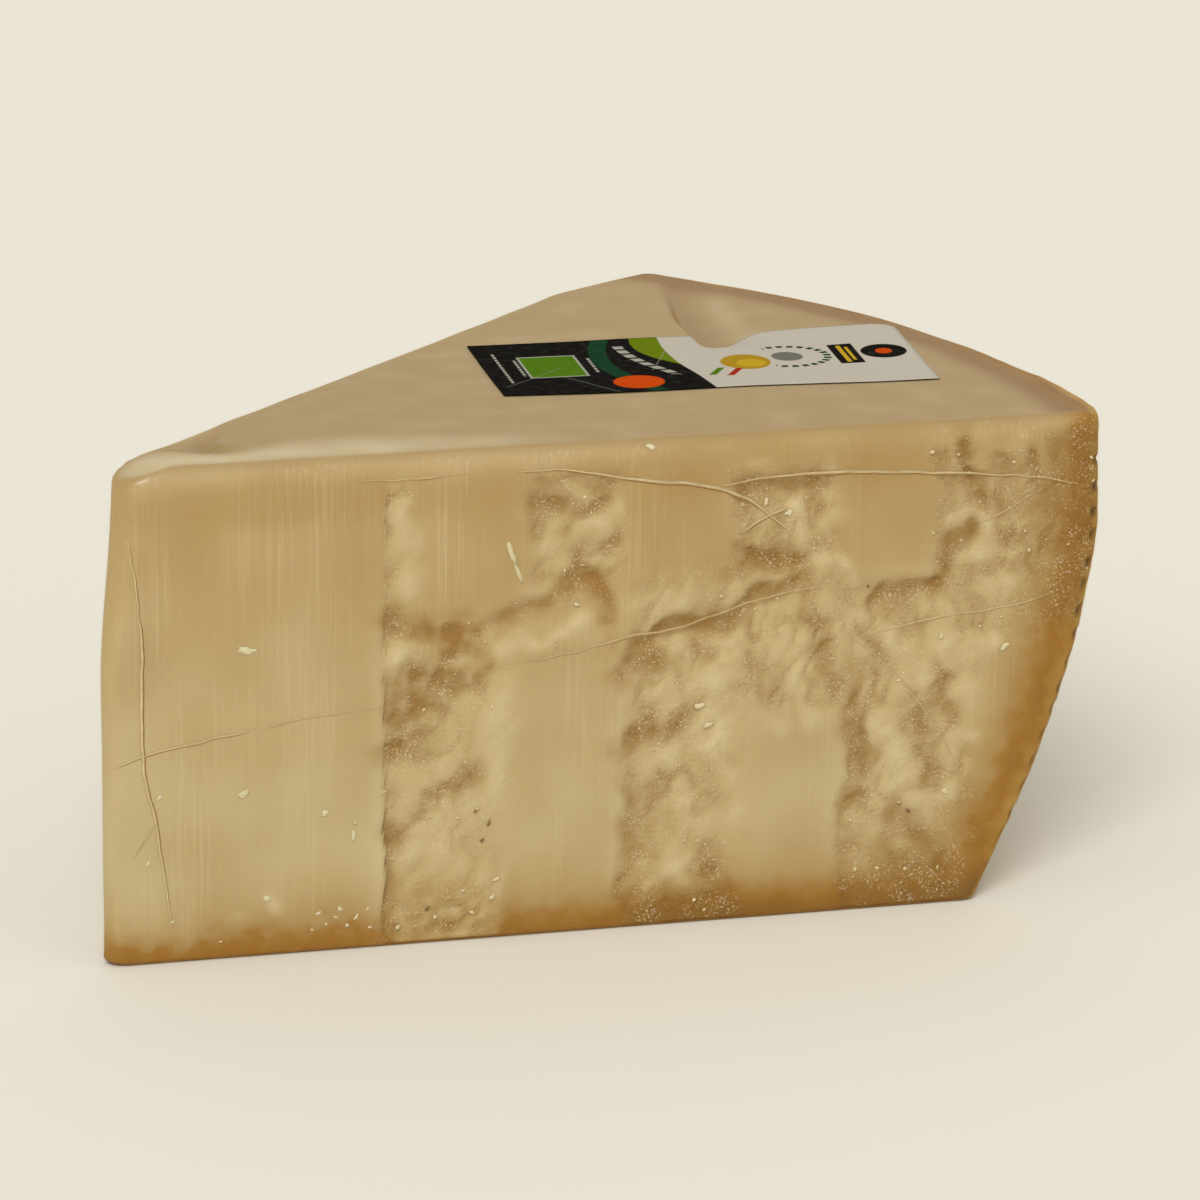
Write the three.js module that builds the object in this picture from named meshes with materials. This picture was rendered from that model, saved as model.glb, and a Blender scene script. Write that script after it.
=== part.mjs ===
// Chunk of hard grana cheese in tight clear film, with a printed label on top.
//
// The chunk is one eighth of the lower half of a wheel. It is worked out in the wheel's
// own frame: the wheel's axis is Z, the front cut face lies in the plane y = 0 and runs
// along +X from the tip to the rind, and the flat underside of the wheel is z = 0. The
// finished group is then moved so that the origin is the middle of the underside.
// Millimetres, +Z up.

import * as THREE from 'three';
import { LoftGeometry } from 'three/addons/geometries/LoftGeometry.js';

const { lerp, smoothstep, degToRad } = THREE.MathUtils;

// Driving dimensions.
const WHEEL_RADIUS = 216;
const CHUNK_HEIGHT = 107.5;
const SECTOR = degToRad(45);
const TIP_REACH = 4; // the two cut faces meet this far beyond the wheel's axis

// The rind stands upright above the shoulder and draws in below it.
const SHOULDER_HEIGHT = 82;
const RIND_DRAW_IN = 26;
const RIND_CURVE = 1.6;

// Rounding of the edges.
const TOP_ROUND = 6;
const RIND_ROUND = 3.5; // along the top of the rind
const BOTTOM_ROUND = 1.5;
const FRONT_CORNER = 3;
const BACK_CORNER = 3;
const NOSE_RADIUS = 3.6;
const NOSE_WEAR = 2.3; // how much rounder the nose is at the top
const NOSE_WEAR_FROM = 60;

const UNDERSIDE_MIDDLE = new THREE.Vector3(125, 48, 0);

// Towards the rind the back face bends inwards.
const BACK_BEND = 7;
const BACK_BEND_LENGTH = 24;
const BACK_BEND_CURVE = 1.4;

// Steps around a ring and up the chunk.
const FRONT_STEPS = 40;
const RIND_STEPS = 20;
const BACK_STEPS = 32;
const CORNER_STEPS = 2;
const NOSE_STEPS = 4;
const SIDE_STEPS = 16;
const EDGE_STEPS = 3;
const TOP_STEPS = 11;

// Label, its middle and its turn on the top face.
const LABEL_LENGTH = 94.5;
const LABEL_WIDTH = 47.6;
const LABEL_THICKNESS = 0.3;
const LABEL_GAP = 0.35;
const LABEL_X = 146;
const LABEL_Y = 62.4;
const LABEL_TURN = degToRad(-5.2);
const LABEL_SAG = 0.4; // the label sinks by this share of the hollow below it
const LABEL_CELL = 4.5;

// Hollow in the top face: a steep crease runs from near the middle to the back corner.
const HOLLOW_DEPTH = 4.2;
const HOLLOW_START = new THREE.Vector2(152, 72);
const HOLLOW_BEND = 7; // how far the crease swings towards the rind
const HOLLOW_WIDTH = 15;
const HOLLOW_STEP = 4;

// Soft dip in the top edge of the back face.
const EDGE_DIP = { along: 36, length: 8.5, depth: 3.9, reach: 12 };

// Shallow sag of the top face, with its middle and its reach.
const SAG_MIDDLE = new THREE.Vector2(95, 75);
const SAG_REACH = 45;
const SAG_DEPTH = 0.7;

// The top face lies a little below the full height, and rises towards the rind and the
// back corner.
const TOP_FALL = 1.5;
const RIM_RISE = 1.4;
const RIM_RISE_FROM = 170; // measured from the wheel's axis
const RIM_RISE_START = degToRad(5);
const RIM_RISE_END = degToRad(25);

// Bands of a cut face that split instead of being cut smooth: x from and to, z from and
// to, and how far the cheese is broken away.
const FRONT_BANDS = [
  { x: [60, 88], z: [4, 66], depth: 1.4 },
  { x: [91, 112], z: [75, 98], depth: 1.2 },
  { x: [110, 137], z: [4, 64], depth: 1.5 },
  { x: [158, 190], z: [4, 74], depth: 1.6 },
];
const BACK_BANDS = [
  { x: [52, 84], z: [30, 98], depth: 1.5 },
  { x: [104, 132], z: [4, 70], depth: 1.4 },
  { x: [150, 186], z: [22, 92], depth: 1.6 },
];

// Ledges, where the split steps back: x and z along the ledge, its depth and width.
const FRONT_LEDGES = [
  { path: [[62, 68], [83, 70], [98, 76], [108, 76]], depth: 2.8, width: 6 },
  { path: [[70, 66], [62, 44]], depth: 2, width: 6 },
  { path: [[113, 63], [133, 67], [150, 76]], depth: 2.2, width: 5 },
  { path: [[165, 68], [178, 70], [186, 82]], depth: 2, width: 5 },
];
const BACK_LEDGES = [
  { path: [[54, 34], [78, 44], [104, 62]], depth: 2.6, width: 6 },
  { path: [[132, 58], [156, 76], [182, 74]], depth: 2.4, width: 6 },
];

const LUMP_SIZE = 13;
const LUMP_HEIGHT = 0.6;
const BAND_SOFTNESS = 4;

// Radius of the rind at a height.
function rindRadius(z) {
  const below = Math.max(0, SHOULDER_HEIGHT - z) / SHOULDER_HEIGHT;
  return WHEEL_RADIUS - RIND_DRAW_IN * below ** RIND_CURVE;
}

// 1 inside a range and 0 outside, with soft ends.
function within(value, [from, to], softness) {
  const rise = smoothstep(value, from - softness, from + softness);
  const fall = smoothstep(value, to - softness, to + softness);
  return rise * (1 - fall);
}

function distanceToPath(x, z, path) {
  const point = new THREE.Vector3(x, 0, z);
  const nearest = new THREE.Vector3();
  let distance = Infinity;
  for (let i = 1; i < path.length; i++) {
    const [x0, z0] = path[i - 1];
    const [x1, z1] = path[i];
    const stretch = new THREE.Line3(new THREE.Vector3(x0, 0, z0), new THREE.Vector3(x1, 0, z1));
    stretch.closestPointToPoint(point, true, nearest);
    distance = Math.min(distance, nearest.distanceTo(point));
  }
  return distance;
}

// How far a cut face lies behind its plane, at a distance x from the wheel's axis and a
// height z. The relief fades out towards the edges of the face.
function relief(x, z, bands, ledges) {
  let depth = 0;
  for (const band of bands) {
    const share = within(x, band.x, BAND_SOFTNESS) * within(z, band.z, BAND_SOFTNESS);
    const lump = Math.sin((x * Math.PI) / LUMP_SIZE) * Math.cos((z * Math.PI) / LUMP_SIZE);
    depth += share * (band.depth + LUMP_HEIGHT * lump);
  }
  for (const ledge of ledges) {
    depth += ledge.depth * Math.exp(-((distanceToPath(x, z, ledge.path) / ledge.width) ** 2));
  }
  const inFace = within(x, [14, rindRadius(z) - 8], 6) * within(z, [6, 98], 5);
  return depth * inFace;
}

function hollowDepth(x, y) {
  const along = y - HOLLOW_START.y;
  const crease = HOLLOW_START.x + HOLLOW_BEND * smoothstep(along, 28, 68);
  const across = x - crease;
  const steep = smoothstep(across, -HOLLOW_STEP, 0);
  const gentle = 1 - smoothstep(across, 0, HOLLOW_WIDTH);
  const strength = smoothstep(along, 0, 14) * (1 - 0.75 * smoothstep(along, 22, 78));
  return HOLLOW_DEPTH * steep * gentle * strength;
}

// How far the top face lies below the full height.
function topDip(x, y) {
  const radius = Math.hypot(x, y);
  const turn = Math.atan2(y, x);
  const fromBack = radius * Math.sin(SECTOR - turn);
  const lengthShare = (radius - EDGE_DIP.along) / EDGE_DIP.length;
  const reachShare = fromBack / EDGE_DIP.reach;
  const dip = EDGE_DIP.depth * Math.exp(-(lengthShare ** 2) - reachShare ** 2);

  const fromSag = SAG_MIDDLE.distanceTo(new THREE.Vector2(x, y));
  const sag = SAG_DEPTH * Math.exp(-((fromSag / SAG_REACH) ** 2));

  const nearRind = smoothstep(radius, RIM_RISE_FROM, WHEEL_RADIUS);
  const rise = RIM_RISE * nearRind * smoothstep(turn, RIM_RISE_START, RIM_RISE_END);
  return hollowDepth(x, y) + dip + sag + TOP_FALL - rise;
}

// Points of an arc, without its last one.
function arcPoints(centre, radius, from, to, steps) {
  const points = [];
  for (let i = 0; i < steps; i++) {
    const angle = lerp(from, to, i / steps);
    points.push(new THREE.Vector2(Math.cos(angle), Math.sin(angle)).multiplyScalar(radius).add(centre));
  }
  return points;
}

// Points of a cut face from start to end, without its last one, each moved inwards by
// the relief there. The bend starts at start and fades out over its length.
function facePoints(start, end, inward, steps, z, bands, ledges, bend = 0) {
  const points = [];
  const length = start.distanceTo(end);
  for (let i = 0; i < steps; i++) {
    const point = start.clone().lerp(end, i / steps);
    const intoBend = Math.max(0, 1 - (length * i) / (steps * BACK_BEND_LENGTH));
    const depth = bend * intoBend ** BACK_BEND_CURVE;
    point.addScaledVector(inward, depth + relief(point.length(), z, bands, ledges));
    points.push(point);
  }
  return points;
}

// The chunk's outline at height z, drawn in by inset, counter-clockwise from above. Along
// the top the rind is rounded less than the cut faces.
function outline(inset, z) {
  const along = new THREE.Vector2(Math.cos(SECTOR), Math.sin(SECTOR)); // runs up the back face
  const frontInward = new THREE.Vector2(0, 1);
  const backInward = new THREE.Vector2(Math.sin(SECTOR), -Math.cos(SECTOR));
  const aboveRound = Math.max(0, z - (CHUNK_HEIGHT - RIND_ROUND));
  const topInset = RIND_ROUND - Math.sqrt(RIND_ROUND ** 2 - aboveRound ** 2);
  const rim = rindRadius(z) - (z < CHUNK_HEIGHT / 2 ? inset : topInset);
  const nose = NOSE_RADIUS + NOSE_WEAR * smoothstep(z, NOSE_WEAR_FROM, CHUNK_HEIGHT);

  const apex = new THREE.Vector2(-TIP_REACH, 0);
  const bisector = new THREE.Vector2(Math.cos(SECTOR / 2), Math.sin(SECTOR / 2));
  const noseCentre = apex.clone().addScaledVector(bisector, (inset + nose) / Math.sin(SECTOR / 2));

  const frontOffset = inset + FRONT_CORNER;
  const frontReach = Math.sqrt((rim - FRONT_CORNER) ** 2 - frontOffset ** 2);
  const frontCentre = new THREE.Vector2(frontReach, frontOffset);

  const backOffset = inset + BACK_BEND + BACK_CORNER;
  const axisOffset = TIP_REACH * Math.sin(SECTOR);
  const backReach = Math.sqrt((rim - BACK_CORNER) ** 2 - (backOffset - axisOffset) ** 2);
  const backCentre = apex.clone();
  backCentre.addScaledVector(along, TIP_REACH * Math.cos(SECTOR) + backReach);
  backCentre.addScaledVector(backInward, backOffset);

  const frontStart = noseCentre.clone().addScaledVector(frontInward, -nose);
  const frontEnd = frontCentre.clone().addScaledVector(frontInward, -FRONT_CORNER);
  const bendAngle = Math.atan((BACK_BEND_CURVE * BACK_BEND) / BACK_BEND_LENGTH);
  const backStart = backCentre.clone().addScaledVector(backInward, -BACK_CORNER - BACK_BEND);
  const backEnd = noseCentre.clone().addScaledVector(backInward, -nose);

  const frontOut = -Math.PI / 2;
  const backOut = SECTOR + Math.PI / 2;
  const axis = new THREE.Vector2(0, 0);
  return [
    ...facePoints(frontStart, frontEnd, frontInward, FRONT_STEPS, z, FRONT_BANDS, FRONT_LEDGES),
    ...arcPoints(frontCentre, FRONT_CORNER, frontOut, frontCentre.angle(), CORNER_STEPS),
    ...arcPoints(axis, rim, frontCentre.angle(), backCentre.angle(), RIND_STEPS),
    ...arcPoints(backCentre, BACK_CORNER, backCentre.angle(), backOut - bendAngle, CORNER_STEPS),
    ...facePoints(backStart, backEnd, backInward, BACK_STEPS, z, BACK_BANDS, BACK_LEDGES, BACK_BEND),
    ...arcPoints(noseCentre, nose, backOut, frontOut + 2 * Math.PI, NOSE_STEPS),
  ];
}

// Rings from the middle of the underside up the sides and over the rounded top edge.
function sideSections() {
  const sections = [outline(BOTTOM_ROUND, 0).map(() => UNDERSIDE_MIDDLE.clone())];
  const addRing = (inset, z) => {
    sections.push(outline(inset, z).map((p) => new THREE.Vector3(p.x, p.y, z)));
  };
  for (let i = 0; i <= EDGE_STEPS; i++) {
    const turn = (i / EDGE_STEPS) * (Math.PI / 2);
    addRing(BOTTOM_ROUND * (1 - Math.sin(turn)), BOTTOM_ROUND * (1 - Math.cos(turn)));
  }
  for (let i = 1; i < SIDE_STEPS; i++) {
    addRing(0, lerp(BOTTOM_ROUND, CHUNK_HEIGHT - TOP_ROUND, i / SIDE_STEPS));
  }
  for (let i = 0; i <= EDGE_STEPS; i++) {
    const turn = (i / EDGE_STEPS) * (Math.PI / 2);
    addRing(TOP_ROUND * (1 - Math.cos(turn)), CHUNK_HEIGHT - TOP_ROUND * (1 - Math.sin(turn)));
  }
  return sections;
}

// The top face: the last ring shrinks to the start of the hollow, and every point near the
// top sinks by the dip there.
function wedgeGeometry() {
  const sections = sideSections();
  const edge = sections[sections.length - 1];
  const middle = new THREE.Vector3(HOLLOW_START.x, HOLLOW_START.y, CHUNK_HEIGHT);
  for (let i = 1; i <= TOP_STEPS; i++) {
    sections.push(edge.map((p) => p.clone().lerp(middle, i / TOP_STEPS)));
  }
  for (const point of sections.flat()) {
    const nearTop = smoothstep(point.z, CHUNK_HEIGHT - 2 * TOP_ROUND, CHUNK_HEIGHT);
    point.z -= nearTop * topDip(point.x, point.y);
  }
  return new LoftGeometry(sections, { capStart: false, capEnd: false });
}

function makeChunk() {
  const material = new THREE.MeshStandardMaterial({ color: 0xbc9f66, roughness: 0.4, metalness: 0 });
  const mesh = new THREE.Mesh(wedgeGeometry(), material);
  mesh.name = 'chunk';
  return mesh;
}

// The label is a thin sheet that sinks a little where it crosses the hollow.
function makeLabel() {
  const cellsLong = Math.round(LABEL_LENGTH / LABEL_CELL);
  const cellsWide = Math.round(LABEL_WIDTH / LABEL_CELL);
  const geometry = new THREE.BoxGeometry(
    LABEL_LENGTH, LABEL_WIDTH, LABEL_THICKNESS, cellsLong, cellsWide, 1);
  const material = new THREE.MeshStandardMaterial({ color: 0xbdb6a8, roughness: 0.35, metalness: 0 });
  const mesh = new THREE.Mesh(geometry, material);
  mesh.name = 'label';
  mesh.position.set(LABEL_X, LABEL_Y, CHUNK_HEIGHT + LABEL_GAP + LABEL_THICKNESS / 2);
  mesh.rotation.z = LABEL_TURN;
  mesh.updateMatrixWorld();

  const corners = geometry.attributes.position;
  const place = new THREE.Vector3();
  for (let i = 0; i < corners.count; i++) {
    place.fromBufferAttribute(corners, i).applyMatrix4(mesh.matrixWorld);
    const bridged = (1 - LABEL_SAG) * hollowDepth(place.x, place.y);
    corners.setZ(i, corners.getZ(i) - topDip(place.x, place.y) + bridged);
  }
  geometry.computeVertexNormals();
  return mesh;
}

const part = new THREE.Group();
part.add(makeChunk(), makeLabel());

const box = new THREE.Box3().setFromObject(part);
const centre = box.getCenter(new THREE.Vector3());
part.position.set(-centre.x, -centre.y, -box.min.z);

export default part;
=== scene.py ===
import math

import bmesh
import bpy
import numpy as np
from mathutils import Matrix, Vector
from mathutils.bvhtree import BVHTree


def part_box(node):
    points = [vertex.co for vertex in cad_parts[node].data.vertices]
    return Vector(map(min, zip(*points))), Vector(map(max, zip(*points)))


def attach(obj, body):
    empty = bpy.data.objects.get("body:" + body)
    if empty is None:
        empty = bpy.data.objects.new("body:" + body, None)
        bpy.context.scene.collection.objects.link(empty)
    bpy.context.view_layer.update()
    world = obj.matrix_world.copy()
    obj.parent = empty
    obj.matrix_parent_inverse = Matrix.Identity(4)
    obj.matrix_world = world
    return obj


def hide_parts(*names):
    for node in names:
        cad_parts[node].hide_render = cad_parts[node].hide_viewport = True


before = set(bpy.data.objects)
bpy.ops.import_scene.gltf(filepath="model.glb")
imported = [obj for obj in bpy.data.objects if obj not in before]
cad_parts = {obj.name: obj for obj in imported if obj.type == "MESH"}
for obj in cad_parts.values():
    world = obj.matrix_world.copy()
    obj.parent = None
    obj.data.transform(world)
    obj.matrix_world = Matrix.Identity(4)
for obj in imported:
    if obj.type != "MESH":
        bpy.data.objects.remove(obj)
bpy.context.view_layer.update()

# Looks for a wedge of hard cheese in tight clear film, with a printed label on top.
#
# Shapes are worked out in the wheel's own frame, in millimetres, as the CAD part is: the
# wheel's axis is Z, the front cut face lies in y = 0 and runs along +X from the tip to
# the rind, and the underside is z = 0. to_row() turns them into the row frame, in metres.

MM = 0.001

# The wedge, as in the CAD part.
WHEEL_RADIUS = 216.0
HEIGHT = 107.5
SECTOR = math.radians(45)
TIP_REACH = 4.0
SHOULDER_HEIGHT = 82.0
RIND_DRAW_IN = 26.0
RIND_CURVE = 1.6
TOP_ROUND = 6.0
RIND_ROUND = 3.5
BOTTOM_ROUND = 1.5
FRONT_CORNER = 3.0
BACK_CORNER = 3.0
BACK_BEND = 7.0
BACK_BEND_LENGTH = 24.0
BACK_BEND_CURVE = 1.4
NOSE_RADIUS = 3.6
NOSE_WEAR = 2.3
NOSE_WEAR_FROM = 60.0
HOLLOW_START = (152.0, 72.0)
HOLLOW_DEPTH = 4.2
HOLLOW_WIDTH = 15.0
EDGE_DIP_ALONG = 36.0
EDGE_DIP_LENGTH = 8.5
EDGE_DIP_DEPTH = 3.9
EDGE_DIP_REACH = 12.0
SAG_MIDDLE = (95.0, 75.0)
SAG_REACH = 45.0
SAG_DEPTH = 0.7
TOP_FALL = 1.5
RIM_RISE = 1.4

chunk_low, chunk_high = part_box("chunk")
AXIS = np.array([chunk_high.x / MM - WHEEL_RADIUS, chunk_low.y / MM, 0.0])

ALONG_BACK = np.array([math.cos(SECTOR), math.sin(SECTOR)])
INTO_BACK = np.array([math.sin(SECTOR), -math.cos(SECTOR)])

# Columns around a ring and rows up the wedge.
FRONT_COLUMNS = 270
FRONT_CORNER_COLUMNS = 8
RIND_COLUMNS = 190
BACK_CORNER_COLUMNS = 6
BACK_COLUMNS = 150
NOSE_COLUMNS = 10
UNDER_ROWS = 6
BOTTOM_EDGE_ROWS = 4
SIDE_ROWS = 110
TOP_EDGE_ROWS = 8
TOP_ROWS = 26


# ---- numbers and noise

def to_row(points):
    """Points of the wheel's frame, in mm, as points of the row frame, in metres."""
    return (np.asarray(points, float) + AXIS) * MM


def smooth(value, start, end):
    share = np.clip((value - start) / (end - start), 0, 1)
    return share * share * (3 - 2 * share)


def within(value, low, high, soft):
    """1 from low to high and 0 outside, with soft ends."""
    return smooth(value, low - soft, low + soft) * (1 - smooth(value, high - soft, high + soft))


def noise(x, y, size, seed):
    """Smooth noise from about -1 to 1, with bumps of about that size."""
    side = 128
    turns = np.random.default_rng(seed).uniform(0, 2 * np.pi, (side, side))
    gx, gy = x / size, y / size
    ix, iy = np.floor(gx).astype(int), np.floor(gy).astype(int)
    fx, fy = gx - ix, gy - iy

    def slope(dx, dy):
        angle = turns[(ix + dx) % side, (iy + dy) % side]
        return np.cos(angle) * (fx - dx) + np.sin(angle) * (fy - dy)

    sx = fx ** 3 * (fx * (fx * 6 - 15) + 10)
    sy = fy ** 3 * (fy * (fy * 6 - 15) + 10)
    low = slope(0, 0) * (1 - sx) + slope(1, 0) * sx
    high = slope(0, 1) * (1 - sx) + slope(1, 1) * sx
    return 1.6 * (low * (1 - sy) + high * sy)


# ---- the wedge's own shape

def rind_radius(z):
    below = np.clip(SHOULDER_HEIGHT - z, 0, None) / SHOULDER_HEIGHT
    return WHEEL_RADIUS - RIND_DRAW_IN * below ** RIND_CURVE


def line_points(start, end, count):
    share = np.linspace(0, 1, count, endpoint=False)[:, None]
    return start + (end - start) * share


def arc_points(centre, radius, start, end, count):
    angle = np.linspace(start, end, count, endpoint=False)
    return centre + radius * np.stack([np.cos(angle), np.sin(angle)], axis=1)


def outline(inset, z):
    """The wedge's outline at height z, drawn in by inset, counter-clockwise from above.
    Where the top edge is rounded, the rind has its own smaller radius."""
    above = max(0.0, z - (HEIGHT - RIND_ROUND))
    rim_inset = RIND_ROUND - math.sqrt(RIND_ROUND ** 2 - above ** 2)
    rim_inset = inset if z < HEIGHT / 2 else rim_inset
    rim = rind_radius(z) - rim_inset
    nose = NOSE_RADIUS + NOSE_WEAR * smooth(z, NOSE_WEAR_FROM, HEIGHT)
    apex = np.array([-TIP_REACH, 0.0])
    half = SECTOR / 2
    bisector = np.array([math.cos(half), math.sin(half)])
    nose_centre = apex + (inset + nose) / math.sin(half) * bisector

    front_offset = inset + FRONT_CORNER
    front_reach = math.sqrt((rim - FRONT_CORNER) ** 2 - front_offset ** 2)
    front_centre = np.array([front_reach, front_offset])
    front_angle = math.atan2(front_offset, front_reach)

    back_offset = inset + BACK_BEND + BACK_CORNER
    axis_offset = TIP_REACH * math.sin(SECTOR)
    back_reach = math.sqrt((rim - BACK_CORNER) ** 2 - (back_offset - axis_offset) ** 2)
    back_reach += TIP_REACH * math.cos(SECTOR)
    back_centre = apex + ALONG_BACK * back_reach + INTO_BACK * back_offset
    back_angle = math.atan2(back_centre[1], back_centre[0])

    bend_angle = math.atan(BACK_BEND_CURVE * BACK_BEND / BACK_BEND_LENGTH)
    back_start = back_centre - INTO_BACK * (BACK_CORNER + BACK_BEND)
    back_face = line_points(back_start, nose_centre - INTO_BACK * nose, BACK_COLUMNS)
    run = np.linalg.norm(back_face - back_start, axis=1)
    bend = BACK_BEND * np.clip(1 - run / BACK_BEND_LENGTH, 0, 1) ** BACK_BEND_CURVE
    back_face = back_face + INTO_BACK * bend[:, None]

    front_out = -math.pi / 2
    back_out = SECTOR + math.pi / 2
    out = np.array([0.0, -1.0])
    return np.concatenate([
        line_points(nose_centre + out * nose, front_centre + out * FRONT_CORNER, FRONT_COLUMNS),
        arc_points(front_centre, FRONT_CORNER, front_out, front_angle, FRONT_CORNER_COLUMNS),
        arc_points(np.zeros(2), rim, front_angle, back_angle, RIND_COLUMNS),
        arc_points(back_centre, BACK_CORNER, back_angle, back_out - bend_angle, BACK_CORNER_COLUMNS),
        back_face,
        arc_points(nose_centre, nose, back_out, front_out + 2 * math.pi, NOSE_COLUMNS),
    ])


def wedge_grid():
    """Rings of points from the middle of the underside, up the sides, to the top's middle."""
    rings = []

    def add(inset, z, share=1.0, middle=(0.0, 0.0)):
        ring = np.array(middle) * (1 - share) + outline(inset, z) * share
        rings.append(np.column_stack([ring, np.full(len(ring), z)]))

    for share in np.linspace(0.02, 1, UNDER_ROWS, endpoint=False):
        add(BOTTOM_ROUND, 0.0, share, (125.0, 48.0))
    for turn in np.linspace(0, np.pi / 2, BOTTOM_EDGE_ROWS, endpoint=False):
        add(BOTTOM_ROUND * (1 - math.sin(turn)), BOTTOM_ROUND * (1 - math.cos(turn)))
    for z in np.linspace(BOTTOM_ROUND, HEIGHT - TOP_ROUND, SIDE_ROWS, endpoint=False):
        add(0.0, z)
    for turn in np.linspace(0, np.pi / 2, TOP_EDGE_ROWS, endpoint=False):
        add(TOP_ROUND * (1 - math.cos(turn)), HEIGHT - TOP_ROUND * (1 - math.sin(turn)))
    for share in np.linspace(1, 0.02, TOP_ROWS):
        add(TOP_ROUND, HEIGHT, share, HOLLOW_START)
    return np.array(rings)


def grid_normals(grid):
    around = np.roll(grid, -1, axis=1) - np.roll(grid, 1, axis=1)
    up = np.gradient(grid, axis=0)
    normals = np.cross(around, up)
    return normals / np.linalg.norm(normals, axis=2, keepdims=True)


def ring_faces(rows, columns):
    """Quads between rings of points, which follow each other ring by ring."""
    faces = []
    for row in range(rows - 1):
        for column in range(columns):
            after = (column + 1) % columns
            low, high = row * columns, (row + 1) * columns
            faces.append((low + column, low + after, high + after, high + column))
    return faces


def grid_faces(rows, columns):
    """The faces between the rings, and a fan of triangles onto a last point at each end."""
    faces = ring_faces(rows, columns)
    under, top = rows * columns, rows * columns + 1
    last = (rows - 1) * columns
    for column in range(columns):
        after = (column + 1) % columns
        faces.append((under, after, column))
        faces.append((top, last + column, last + after))
    return faces


def closed(values):
    """The grid's values, or points, and the two middle ones that close it."""
    middles = [values[0].mean(axis=0), values[-1].mean(axis=0)]
    return np.concatenate([values.reshape(-1, *values.shape[2:]), middles])


# ---- relief of the faces

# A cut face is described by x, the distance from the wheel's axis, and z, the height.
# splits: x from and to, z from and to, how deep the cheese is broken away at the left and
#   at the right edge, and how soft those edges are. Between them the knife cut smoothly.
# ledges: the line under which the split steps back, its depth and how far it runs out. Just
#   under the line a painted shadow darkens the tone.
# veins: the line of a groove or a ridge, its half width, depth (minus stands out) and tone
#   (minus is dark): painted shade in a groove and painted light on a ridge. Lines give x and
#   z in turn.
# spots: x, z, half width, half height, depth and tone. The tone is painted shade in a
#   hollow and painted light on a spot that stands out; spots of little or no depth are paler paste.
FRONT_SPLITS = [
    (60, 85, -5, 60, 1.4, 0.1, 0.5, 8), (60, 67, 60, 99, 0.8, 0.2, 0.7, 3),
    (91, 112, 76, 99, 1, 0.9, 3, 4), (111, 136, -5, 61, 0.9, 0.5, 2.8, 6),
    (113, 160, 62, 75, 0.7, 0.7, 3, 3), (135, 160, 46, 70, 0.5, 0.5, 4, 3),
    (134, 158, 76, 98, 0.8, 0.8, 4, 4), (159, 188, -5, 73, 0.9, 0.7, 2.6, 5),
    (178, 203, 58, 100, 0.8, 0.6, 4, 3), (203, 219, 60, 105, 0.9, 0.6, 2.5, 2),
]
FRONT_LEDGES = [
    ([77, 68, 81, 69.5, 86, 71, 92, 72.5, 97, 76, 102, 79.5, 106, 78, 110, 73], 2.2, 6.5),
    ([112, 64, 118, 65, 121, 68, 128, 69, 136, 69.5, 142, 73, 147, 75.5, 152, 75.5], 2.6, 5.5),
    ([137, 81.5, 142, 82, 150, 80.5], 2.2, 4.5), ([136, 95, 145, 95.5, 157, 95.5], 1.5, 4),
    ([164, 67, 168, 71.5, 174, 72, 182, 71], 2.4, 5),
]
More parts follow.
